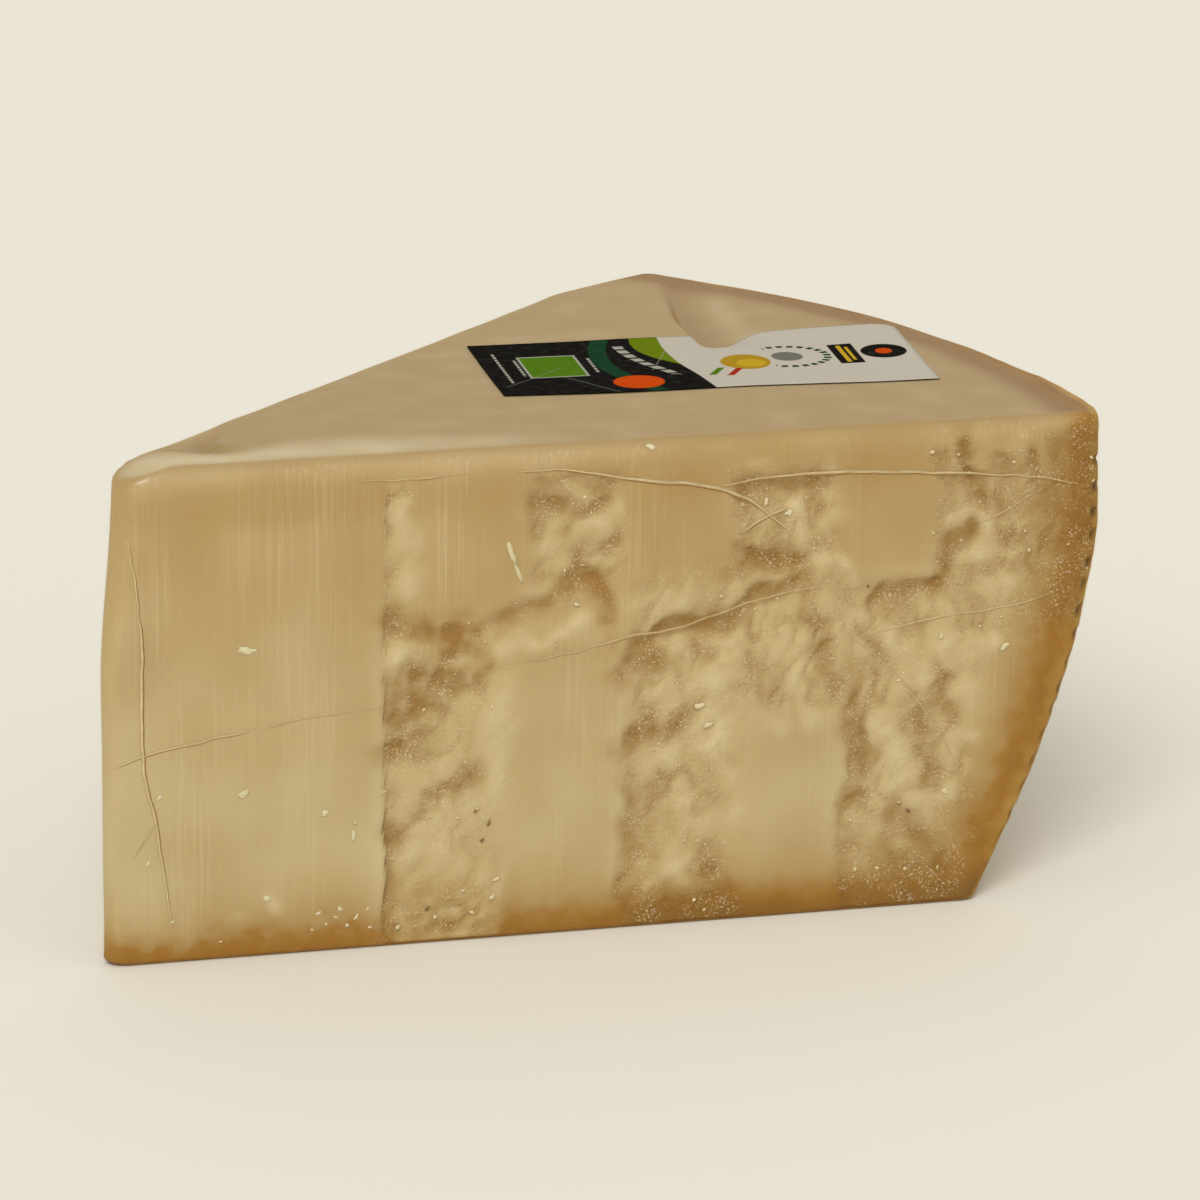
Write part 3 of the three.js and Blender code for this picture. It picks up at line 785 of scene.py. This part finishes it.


# Loose flakes under the film on the front face: x, z, length, width and lean in degrees.
# # The flakes at x 128 to 130 and at x 195 also stand in for small glints of the film, as
# # painted highlights.
FLAKES = [
    (31, 66, 2.6, 0.9, -8), (30, 35.5, 1.5, 0.9, 20), (47.5, 30, 1, 0.8, 60),
    (53.5, 25, 1.3, 0.7, 90), (53.7, 27.5, 0.6, 0.4, 80), (12.5, 36, 0.8, 0.6, 30),
    (87.1, 83, 2.4, 0.7, -72), (88.5, 79, 2.6, 0.4, -68), (84, 13, 1, 0.5, 10),
    (147, 88, 0.9, 0.8, 40), (142, 90.5, 0.9, 0.6, 70), (182.5, 24.8, 0.8, 0.7, 20),
    (101, 71.3, 0.6, 0.5, 0), (195, 56, 1.5, 0.6, 30), (181, 59, 0.8, 0.6, 70),
    (128, 47.5, 1.2, 0.7, 15), (130, 43.3, 1.4, 0.6, 5), (117, 104, 1.2, 0.6, -15),
    (10, 22, 0.8, 0.5, 40), (46, 8.5, 0.8, 0.5, 30), (47.5, 6, 0.5, 0.3, 60),
    (49.5, 7.4, 0.6, 0.3, -20), (56.5, 8.6, 0.6, 0.4, 45), (57, 4.6, 0.5, 0.3, 10),
    (44.5, 5, 0.4, 0.3, 0), (63, 4, 0.6, 0.4, 20), (71, 5.5, 0.5, 0.4, 70),
    (79, 6, 0.7, 0.4, -30), (83, 9, 0.5, 0.5, 0), (77, 11, 0.6, 0.3, 50),
    (35, 12.5, 0.7, 0.9, 80), (25, 4, 0.4, 0.3, 0), (50.5, 9, 0.7, 0.5, 120),
    (54, 7, 0.9, 0.4, 60), (52, 5.4, 0.5, 0.4, 10), (15, 9, 0.5, 0.4, 0),
]
# Small holes in the front face, each filled with a dark flat bit as painted shade: x, z, length,
# width and lean in degrees.
PORE_SHADOWS = [
    (82.5, 25.2, 0.9, 0.45, 62), (81, 21.6, 0.55, 0.35, 40), (79.6, 28, 0.4, 0.3, 20),
    (69.5, 7.4, 0.7, 0.35, 50), (174.5, 21, 0.8, 0.4, -40), (164.5, 71, 0.4, 0.3, 0),
]
FLAKE_STAND = 0.07
SLAB_SIDES = 11


def slab(rng, length, width):
    """A thin slab with an uneven outline, as points and faces."""
    turn = np.linspace(0, 2 * np.pi, SLAB_SIDES, endpoint=False)
    reach = 1 + rng.uniform(-0.45, 0.25, SLAB_SIDES)
    rim = np.column_stack([length * reach * np.cos(turn), width * reach * np.sin(turn)])
    low = np.column_stack([rim, np.full(SLAB_SIDES, -FLAKE_STAND)])
    high = np.column_stack([0.85 * rim, np.full(SLAB_SIDES, FLAKE_STAND)])
    points = np.concatenate([low, high, [(0, 0, -FLAKE_STAND), (0, 0, 1.2 * FLAKE_STAND)]])
    return points, grid_faces(2, SLAB_SIDES)


def laid_bits(film, table, sink, rng):
    """Flat bits on the front face, each turned as the table says."""
    parts = []
    for x, z, length, width, lean in table:
        place, normal = film.front(x, z)
        turn = math.radians(lean)
        side = np.array([math.cos(turn), 0.0, math.sin(turn)])
        side -= normal * (side @ normal)
        side /= np.linalg.norm(side)
        axes = np.stack([side, np.cross(normal, side), normal])
        points, faces = slab(rng, length, width)
        parts.append((place - normal * sink + points @ axes, faces))
    return joined(parts)


# ---- label

label_low, label_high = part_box("label")
LABEL_MIDDLE = np.array([label_low.x + label_high.x, label_low.y + label_high.y]) / 2 / MM
LABEL_MIDDLE -= AXIS[:2]
LABEL_LENGTH = 94.5
LABEL_WIDTH = 47.6
LABEL_TURN = math.radians(-5.2)
LABEL_CELL = 1.0
LABEL_CORNER = 5.0
LABEL_LIFT = 0.1
LABEL_SHEET = 0.1


def label_grid():
    """Points of the label in its own plane, with its far right corner rounded."""
    across = np.linspace(-LABEL_LENGTH / 2, LABEL_LENGTH / 2, round(LABEL_LENGTH / LABEL_CELL) + 1)
    deep = np.linspace(-LABEL_WIDTH / 2, LABEL_WIDTH / 2, round(LABEL_WIDTH / LABEL_CELL) + 1)
    flat = np.stack(np.meshgrid(across, deep), axis=2)
    corner = np.array([LABEL_LENGTH, LABEL_WIDTH]) / 2 - LABEL_CORNER
    past = flat - corner
    in_corner = (past > 0).all(axis=2)
    pull = past.max(axis=2) / np.maximum(np.hypot(past[..., 0], past[..., 1]), 0.001)
    flat[in_corner] = (corner + past * pull[..., None])[in_corner]
    return flat


def make_label(film):
    flat = label_grid()
    right = np.array([math.cos(LABEL_TURN), math.sin(LABEL_TURN)])
    far = np.array([-right[1], right[0]])
    plan = LABEL_MIDDLE + flat[..., :1] * right + flat[..., 1:] * far
    height = np.array([[film.top(x, y)[0][2] for x, y in row] for row in plan])
    padded = np.pad(height, 3, mode="edge")
    bridge = sum(padded[3 + i:len(padded) - 3 + i, 3 + j:padded.shape[1] - 3 + j]
                 for i in range(-3, 4) for j in range(-3, 4)) / 49
    height = np.maximum(height, 0.75 * height + 0.25 * bridge)
    height += 0.05 * noise(plan[..., 0], plan[..., 1], 14, 101) + LABEL_LIFT
    low = np.dstack([plan, height])
    high = low + np.array([0, 0, LABEL_SHEET])
    rings = np.concatenate([high, low[:, ::-1]], axis=1)
    rows, around = rings.shape[:2]
    faces = ring_faces(rows, around)
    end = (rows - 1) * around
    for c in range(around // 2 - 1):
        faces.append((around - 1 - c, around - 2 - c, c + 1, c))
        faces.append((end + c, end + c + 1, end + around - 2 - c, end + around - 1 - c))
    along, deep = np.moveaxis(np.concatenate([flat, flat[:, ::-1]], axis=1), 2, 0)
    masks = {"along": along.ravel(), "deep": deep.ravel()}
    return make_mesh("label", rings.reshape(-1, 3), faces, masks)


# ---- materials

def rgb(*screen):
    """A colour given as 0 to 255 on a screen, as linear light."""
    share = np.array(screen) / 255
    linear = np.where(share <= 0.04045, share / 12.92, ((share + 0.055) / 1.055) ** 2.4)
    return (*linear.tolist(), 1.0)


PASTE = rgb(188, 172, 130)
WARM_PASTE = rgb(175, 148, 100)
BROKEN_PASTE = rgb(195, 177, 132)
DEEP_PASTE = rgb(180, 154, 98)
PALE_PASTE = rgb(228, 216, 180)
# Painted shade: the top face's paste is a darker, greyer copy of the front's, for how light falls on
# the top.
TOP_PAINTED_SHADE_PASTE = rgb(152, 129, 87)
SPLIT_SHADE = rgb(148, 104, 32)
TOP_SHADE = rgb(122, 88, 46)
RIND_INSIDE = rgb(160, 125, 63)
RIND_DEEP = rgb(148, 104, 36)
RIND_SKIN = rgb(168, 132, 62)
DOT_SHADE = rgb(78, 56, 30)
GRAIN_SHADE = rgb(160, 122, 62)
SPECK = rgb(240, 228, 196)


class Graph:
    """A material's node tree, with one short call for each kind of node."""

    def __init__(self, name):
        self.material = bpy.data.materials.new(name)
        self.material.use_nodes = True
        self.nodes = self.material.node_tree.nodes
        self.surface = self.nodes["Principled BSDF"]
        self.colour = None

    def put(self, socket, value):
        if isinstance(value, bpy.types.NodeSocket):
            self.material.node_tree.links.new(value, socket)
        else:
            socket.default_value = value

    def node(self, kind, inputs=None, **settings):
        made = self.nodes.new("ShaderNode" + kind)
        for key, value in settings.items():
            setattr(made, key, value)
        for key, value in (inputs or {}).items():
            self.put(made.inputs[key], value)
        return made

    def set(self, **values):
        for key, value in values.items():
            self.put(self.surface.inputs[key.replace("_", " ")], value)

    def attribute(self, name):
        return self.node("Attribute", attribute_name=name).outputs["Fac"]

    def place(self, scale=(1, 1, 1)):
        source = self.node("TexCoord").outputs["Object"]
        return self.node("Mapping", {"Vector": source, "Scale": scale}).outputs["Vector"]

    def noise(self, vector, scale, detail=3.0, rough=0.5):
        inputs = {"Vector": vector, "Scale": scale, "Detail": detail, "Roughness": rough}
        return self.node("TexNoise", inputs).outputs["Fac"]

    def math(self, operation, first, second=0.0, clamp=False):
        inputs = {0: first, 1: second}
        return self.node("Math", inputs, operation=operation, use_clamp=clamp).outputs[0]

    def times(self, first, second):
        return self.math("MULTIPLY", first, second)

    def minus(self, first, second):
        return self.math("SUBTRACT", first, second)

    def most(self, first, second):
        return self.math("MAXIMUM", first, second)

    def range(self, value, low, high, new_low=0.0, new_high=1.0):
        inputs = dict(enumerate((value, low, high, new_low, new_high)))
        return self.node("MapRange", inputs).outputs["Result"]

    def mix(self, share, first, second):
        inputs = {0: share, 6: first, 7: second}
        return self.node("Mix", inputs, data_type="RGBA").outputs[2]

    def over(self, share, tint):
        """A share of that tint over the colour so far."""
        self.colour = self.mix(share, self.colour, tint)

    def ramp(self, value, stops):
        made = self.node("ValToRGB", {"Fac": value})
        elements = made.color_ramp.elements
        while len(elements) < len(stops):
            elements.new(0.5)
        for element, (position, colour) in zip(elements, stops):
            element.position = position
            element.color = colour
        return made.outputs["Color"]

    def curve(self, value, points, low, high, new_low, new_high):
        """The value read off a smooth curve through the points."""
        made = self.node("FloatCurve", {"Value": self.range(value, low, high)})
        line = made.mapping.curves[0]
        spots = [((at - low) / (high - low), (to - new_low) / (new_high - new_low))
                 for at, to in points]
        while len(line.points) < len(spots):
            line.points.new(0.5, 0.5)
        for point, spot in zip(line.points, spots):
            point.location = spot
        made.mapping.update()
        return self.range(made.outputs[0], 0, 1, new_low, new_high)

    def clear(self, tint, share, sheet):
        """The material as clear film that shows that share of the sheet's own shader."""
        film = self.node("BsdfTransparent", {"Color": tint})
        both = self.node("MixShader", {0: share, 1: film.outputs[0], 2: sheet.outputs[0]})
        self.nodes.remove(self.surface)
        self.put(self.nodes["Material Output"].inputs["Surface"], both.outputs[0])
        return self.material

    def bump(self, height, distance, strength):
        inputs = {"Height": height, "Distance": distance, "Strength": strength}
        return self.node("Bump", inputs).outputs["Normal"]


def cheese_material():
    g = Graph("cheese")
    crumb, tone, crust, top = map(g.attribute, ("crumb", "tone", "crust", "top"))
    place = g.place()

    height = g.node("SeparateXYZ", {"Vector": place}).outputs["Z"]
    g.colour = g.mix(g.range(height, 0.03, 0.095), PASTE, WARM_PASTE)
    g.over(g.times(crumb, 0.7), BROKEN_PASTE)
    cloud = g.range(g.noise(place, 55, 4), 0.35, 0.65)
    g.over(g.times(cloud, 0.22), DEEP_PASTE)
    # Painted shade: the top face takes the darker, greyer top paste.
    g.over(top, TOP_PAINTED_SHADE_PASTE)
    lines = g.range(g.noise(g.place((1, 1, 0.02)), 1500, 2), 0.5, 0.75)
    bands = g.range(g.noise(g.place((1, 1, 0.1)), 60, 1), 0.38, 0.6)
    line_share = g.times(g.times(lines, bands), g.attribute("striae"))
    g.over(g.times(line_share, 0.26), PALE_PASTE)

    mottle = g.range(g.noise(place, 260, 4, 0.6), 0.3, 0.7, -0.12, 0.12)
    near_rind = g.math("ADD", crust, g.times(mottle, g.range(crust, 0.1, 0.6)))
    rind = g.ramp(near_rind, [(0.0, RIND_INSIDE), (0.3, RIND_INSIDE),
                              (0.75, RIND_DEEP), (1.0, RIND_SKIN)])
    g.over(g.range(near_rind, 0.0, 0.6), rind)

    # The tone's dark and pale shares are partly painted shade and painted light (recesses, grooves,
    # ledge lips, crumb creases, the top hollow, the rind's dimples, the rounded edges) and partly
    # the paste's own darker and paler patches and its browner crust.
    dark = g.math("MULTIPLY", tone, -1.0, clamp=True)
    pale = g.math("MULTIPLY", tone, 1.0, clamp=True)
    shade = g.mix(top, SPLIT_SHADE, TOP_SHADE)
    g.over(g.times(dark, 0.8), shade)
    g.over(g.times(pale, g.range(crust, 0.3, 0.9, 0.6, 0.3)), PALE_PASTE)
    # Near the rind the dark tone takes DOT_SHADE: painted shade in the rind's dimples, and the
    # crust's own dark brown along the bottom.
    g.over(g.times(dark, g.range(crust, 0.55, 0.9, 0.0, 0.8)), DOT_SHADE)

    grain = g.range(g.noise(place, 1700, 3, 0.7), 0.35, 0.65)
    shaded = g.most(dark, g.range(crust, 0.2, 0.7, 0.0, 0.5))
    gritty = g.times(crumb, g.range(shaded, 0.0, 0.6, 0.25, 1.0))
    g.over(g.times(grain, g.range(gritty, 0, 1, 0.05, 0.4)), GRAIN_SHADE)
    patches = g.range(g.noise(place, 190, 3), 0.42, 0.6)
    specks = g.times(g.range(g.noise(place, 2300, 2, 0.5), 0.56, 0.68), patches)
    speck_share = g.times(specks, g.range(gritty, 0, 1, 0.03, 0.65))
    g.over(speck_share, SPECK)

    fine = g.times(g.noise(place, 900, 5, 0.65), g.range(gritty, 0, 1, 0.12, 1.6))
    g.set(Base_Color=g.colour, Normal=g.bump(fine, 0.0008, 0.8))
    g.set(Roughness=g.range(crumb, 0, 1, 0.42, 0.6))
    g.set(Subsurface_Weight=0.4, Subsurface_Scale=0.001, Subsurface_Radius=(1.0, 0.65, 0.3))
    g.set(Specular_IOR_Level=0.0)
    return g.material


LABEL_PAPER = rgb(177, 170, 156)
LABEL_BLACK = rgb(24, 22, 20)
LABEL_GREEN = rgb(74, 108, 22)
LABEL_LEAF = rgb(94, 112, 16)
LABEL_DARK_GREEN = rgb(24, 56, 36)
LABEL_PALE = rgb(150, 150, 136)
LABEL_ORANGE = rgb(184, 66, 14)
LABEL_OCHRE = rgb(158, 126, 34)
LABEL_YELLOW = rgb(178, 146, 36)
LABEL_RED = rgb(150, 42, 28)
LABEL_GREY = rgb(104, 102, 92)

# Lines that run along the label's short side: place along the short side, place along the
# long side.
BLACK_EDGE = [(-25, -1.3), (-13.6, -2.9), (6.2, -5.7), (25, -5.3)]
LEAF_EDGE = [(-25, 6), (-1.8, -5), (5.9, -9.7), (15.7, -12.1), (25, -11.2)]
WAVE_LINE = [(-25, -13), (-6, -20), (8, -21), (25, -17.6)]
STRIPE_LINE = [(-25, -4), (-11, -7.6), (3, -13), (17, -15.4), (25, -15)]


def label_material():
    g = Graph("label")
    x, y = g.attribute("along"), g.attribute("deep")

    g.colour = LABEL_PAPER

    def paint(distance, tint):
        g.over(g.range(distance, -0.12, 0.12, 1.0, 0.0), tint)

    def disc(at_x, at_y, half_x, half_y):
        dx = g.math("DIVIDE", g.minus(x, at_x), half_x)
        dy = g.math("DIVIDE", g.minus(y, at_y), half_y)
        reach = g.math("SQRT", g.math("ADD", g.times(dx, dx), g.times(dy, dy)))
        return g.times(g.minus(reach, 1.0), min(half_x, half_y))

    def bar(at_x, at_y, half_x, half_y, slope=0.0):
        leaning = g.minus(g.minus(x, at_x),
                         g.times(g.minus(y, at_y), slope))
        dx = g.minus(g.math("ABSOLUTE", leaning), half_x)
        dy = g.minus(g.math("ABSOLUTE", g.minus(y, at_y)), half_y)
        return g.most(dx, dy)

    def beside(line):
        return g.minus(x, g.curve(y, line, -25, 25, -25, 25))

    def dashes(value, pitch, gap):
        phase = g.math("PINGPONG", value, pitch / 2)
        return g.minus(phase, (pitch - gap) / 2)

    black_edge = beside(BLACK_EDGE)
    leaf = g.most(black_edge, g.times(beside(LEAF_EDGE), -1.0))
    wave = g.minus(g.math("ABSOLUTE", beside(WAVE_LINE)), 2.0)
    stripe = g.minus(g.math("ABSOLUTE", beside(STRIPE_LINE)), 1.1)
    stripe = g.most(stripe, bar(-12, 3, 30, 14))
    stripe = g.most(stripe, dashes(y, 4.0, 1.2))

    paint(black_edge, LABEL_BLACK)
    paint(leaf, LABEL_LEAF)
    paint(wave, LABEL_DARK_GREEN)
    paint(bar(-32.35, 1.27, 6.4, 9.8), LABEL_PALE)
    paint(bar(-32.35, 1.27, 5.9, 9.2), LABEL_GREEN)
    for line_x, half_length in ((-43.3, 14.0), (-39.6, 7.5), (-23.6, 7.0)):
        line = g.most(bar(line_x, 1.2, 0.3, half_length), dashes(y, 2.3, 0.6))
        paint(line, LABEL_PALE)
    paint(stripe, LABEL_PALE)
    paint(disc(-16.7, -15.9, 5.5, 5.5), LABEL_ORANGE)
    paint(disc(9.2, -2.5, 5.4, 6.6), LABEL_OCHRE)
    paint(disc(10.2, -3.6, 3.2, 3.4), LABEL_YELLOW)
    paint(bar(1.4, -10.0, 0.8, 3.2, 0.5), LABEL_GREEN)
    paint(bar(5.2, -11.0, 0.8, 3.2, 0.5), LABEL_RED)
    ring = g.minus(g.math("ABSOLUTE", disc(19.0, 0.6, 8.8, 8.8)), 0.8)
    ring = g.most(ring, g.minus(15.0, x))
    turn = g.math("ARCTAN2", g.minus(y, 0.6), g.minus(x, 19.0))
    beads = dashes(g.times(turn, 8.8), 2.3038, 0.9)
    paint(g.most(ring, beads), LABEL_DARK_GREEN)
    paint(disc(19.0, 0.6, 3.4, 4.0), LABEL_GREY)
    paint(bar(32.0, 0.6, 2.7, 8.0), LABEL_BLACK)
    paint(bar(31.5, 0.6, 0.5, 6.8), LABEL_YELLOW)
    paint(bar(33.0, 0.6, 0.35, 5.4), LABEL_YELLOW)
    paint(disc(40.4, 0.9, 5.0, 5.6), LABEL_BLACK)
    paint(disc(40.4, 0.9, 1.8, 2.2), LABEL_ORANGE)

    wear = g.times(g.range(g.noise(g.place(), 500, 3), 0.5, 0.75), 0.04)
    g.over(wear, LABEL_PALE)
    for crease_x, crease_y, slope in ((-38, -8, 0.9), (-27, -16, -0.6), (-9, 2, 0.35)):
        crease = bar(crease_x, crease_y, 0.12, 8.0, slope)
        g.over(g.range(crease, -0.1, 0.2, 0.35, 0.0), LABEL_PALE)
    ripple = g.noise(g.place(), 90, 3)
    g.set(Base_Color=g.colour, Normal=g.bump(ripple, 0.0006, 0.4))
    g.set(Roughness=0.45, Specular_IOR_Level=0.0)
    return g.material


def bit_material(name, first, second, rough):
    g = Graph(name)
    colour = g.mix(g.range(g.noise(g.place(), 700, 3), 0.35, 0.65), rgb(*first), rgb(*second))
    g.set(Base_Color=colour, Normal=g.bump(g.noise(g.place(), 2600, 3), 0.0002, 0.5))
    g.set(Roughness=rough, Subsurface_Weight=0.3, Subsurface_Scale=0.001)
    return g.material


def fold_material():
    g = Graph("film_folds")
    # Painted shadow: the fold is pale, and tinted brown along one side of its section for the shadow
    # beside it.
    tint = g.mix(g.range(g.attribute("side"), 0.15, 0.45), rgb(220, 202, 156), rgb(180, 140, 76))
    inputs = {"Base Color": tint, "Roughness": 0.5, "Specular IOR Level": 0.0}
    patches = g.range(g.noise(g.place(), 260, 3), 0.3, 0.7, 0.4, 1.0)
    share = g.times(patches, g.attribute("white"))
    return g.clear((1, 1, 1, 1), share, g.node("BsdfPrincipled", inputs))


def film_material():
    g = Graph("film")
    soft = g.range(g.noise(g.place(), 120, 3), 0.2, 0.8, 0.2, 0.27)
    gloss = g.node("BsdfGlossy", {"Color": (1, 1, 1, 1), "Roughness": soft})
    edge = g.node("Fresnel", {"IOR": 1.45}).outputs[0]
    share = g.math("MINIMUM", g.times(edge, 0.6), 0.06)
    return g.clear((0.99, 0.985, 0.97, 1), share, gloss)


def floor_material():
    g = Graph("floor")
    tint = g.mix(g.noise(g.place(), 3, 2), rgb(220, 216, 204), rgb(221, 217, 206))
    g.set(Base_Color=tint, Roughness=0.9, Specular_IOR_Level=0.0)
    return g.material


# ---- stage, light, camera

# The camera looks along this azimuth from +Y, down by this elevation; degrees and metres.
CAMERA_AZIMUTH = 15.833
CAMERA_ELEVATION = 15.278
CAMERA_ROLL = 0.489
CAMERA_DISTANCE = 1.5567
CAMERA_AIM = (116.9, 38.2, 61.1)
CAMERA_LENS = 219.2


def downward(azimuth, elevation):
    turn, fall = math.radians(azimuth), math.radians(elevation)
    flat = math.cos(fall)
    return Vector((math.sin(turn) * flat, math.cos(turn) * flat, -math.sin(fall)))


def make_camera():
    data = bpy.data.cameras.new("camera")
    data.lens = CAMERA_LENS
    data.sensor_width = 36.0
    data.clip_end = 30.0
    camera = placed("camera", data)
    forward = downward(CAMERA_AZIMUTH, CAMERA_ELEVATION)
    roll = Matrix.Rotation(math.radians(CAMERA_ROLL), 3, "Z")
    turn = forward.to_track_quat("-Z", "Y").to_matrix() @ roll
    away = Vector(to_row(CAMERA_AIM)) - forward * CAMERA_DISTANCE
    camera.matrix_world = Matrix.Translation(away) @ turn.to_4x4()
    bpy.context.scene.camera = camera


def make_sun(name, azimuth, elevation, power, angle):
    data = bpy.data.lights.new(name, "SUN")
    data.energy = power
    data.angle = math.radians(angle)
    shines = downward(azimuth, elevation)
    placed(name, data).rotation_euler = shines.to_track_quat("-Z", "Y").to_euler()


def make_stage():
    half = 6.0
    corners = [(-half, -half, 0), (half, -half, 0), (half, half, 0), (-half, half, 0)]
    mesh = bpy.data.meshes.new("floor")
    mesh.from_pydata(corners, [], [(0, 1, 2, 3)])
    mesh.materials.append(floor_material())
    floor = placed("floor", mesh)

    world = bpy.data.worlds.new("studio")
    world.use_nodes = True
    backdrop = world.node_tree.nodes["Background"]
    backdrop.inputs["Color"].default_value = rgb(236, 233, 226)
    backdrop.inputs["Strength"].default_value = 0.8
    bpy.context.scene.world = world
    bpy.context.scene.view_settings.view_transform = "Standard"
    make_sun("key", 24, 40, 2.0, 28)
    make_sun("back", 200, 35, 0.4, 60)


# ---- pieces

def add(piece, material, node="chunk", slot="cheese"):
    piece.data.materials.append(material)
    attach(piece, "root")
    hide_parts(node)


grid = wedge_grid()
normals = grid_normals(grid)
skin = wedge_skin(grid, normals)
cheese_points = grid - normals * skin["depth"][..., None]
film_grid = film_points(grid, normals, skin)
film_outside = Skin(closed(film_grid), grid_faces(*film_grid.shape[:2]))

masks = {key: closed(skin[key]) for key in ("crumb", "tone", "crust", "striae", "top")}
cheese = make_mesh("cheese", closed(cheese_points), grid_faces(*grid.shape[:2]), masks)
add(cheese, cheese_material())
thinned = film_grid[:, ::2]
film = make_mesh("film", closed(thinned), grid_faces(*thinned.shape[:2]))
add(film, film_material(), slot="film")
add(make_folds(film_outside), fold_material(), slot="film")
add(make_label(film_outside), label_material(), "label", "label")

# Bits on the broken cheese: how many, their size, how uneven they are, how finely their
# balls are made, their two colours and roughness.
rng = np.random.default_rng(77)
rough_paste = skin["crumb"] ** 1.5 * (grid[..., 2] > 2)
for name, count, size, uneven, level, *look in (
        ("crystals", 700, (0.05, 0.15), (0.7, 1.4), 1, (224, 210, 174), (236, 228, 204), 0.35),
        ("crumbs", 200, (0.15, 0.38), (0.6, 1.5), 2, (204, 184, 134), (220, 204, 160), 0.5)):
    places, outward = scattered(cheese_points, normals, rough_paste, count, rng)
    sizes = rng.uniform(*size, (count, 1)) * rng.uniform(*uneven, (count, 3))
    add(make_mesh(name, *bits(places, outward, sizes, level, rng)), bit_material(name, *look))

# Bits laid on the film from a table: how deep they sink into it, and their look. The dark
# # pore bits are painted shade in small holes.
for name, table, sink, *look in (
        ("flakes", FLAKES, 0.14, (204, 186, 144), (216, 202, 166), 0.5),
        ("pore_shadows", PORE_SHADOWS, 0.18, (110, 82, 44), (130, 98, 54), 0.6)):
    add(make_mesh(name, *laid_bits(film_outside, table, sink, rng)), bit_material(name, *look))

make_stage()
make_camera()
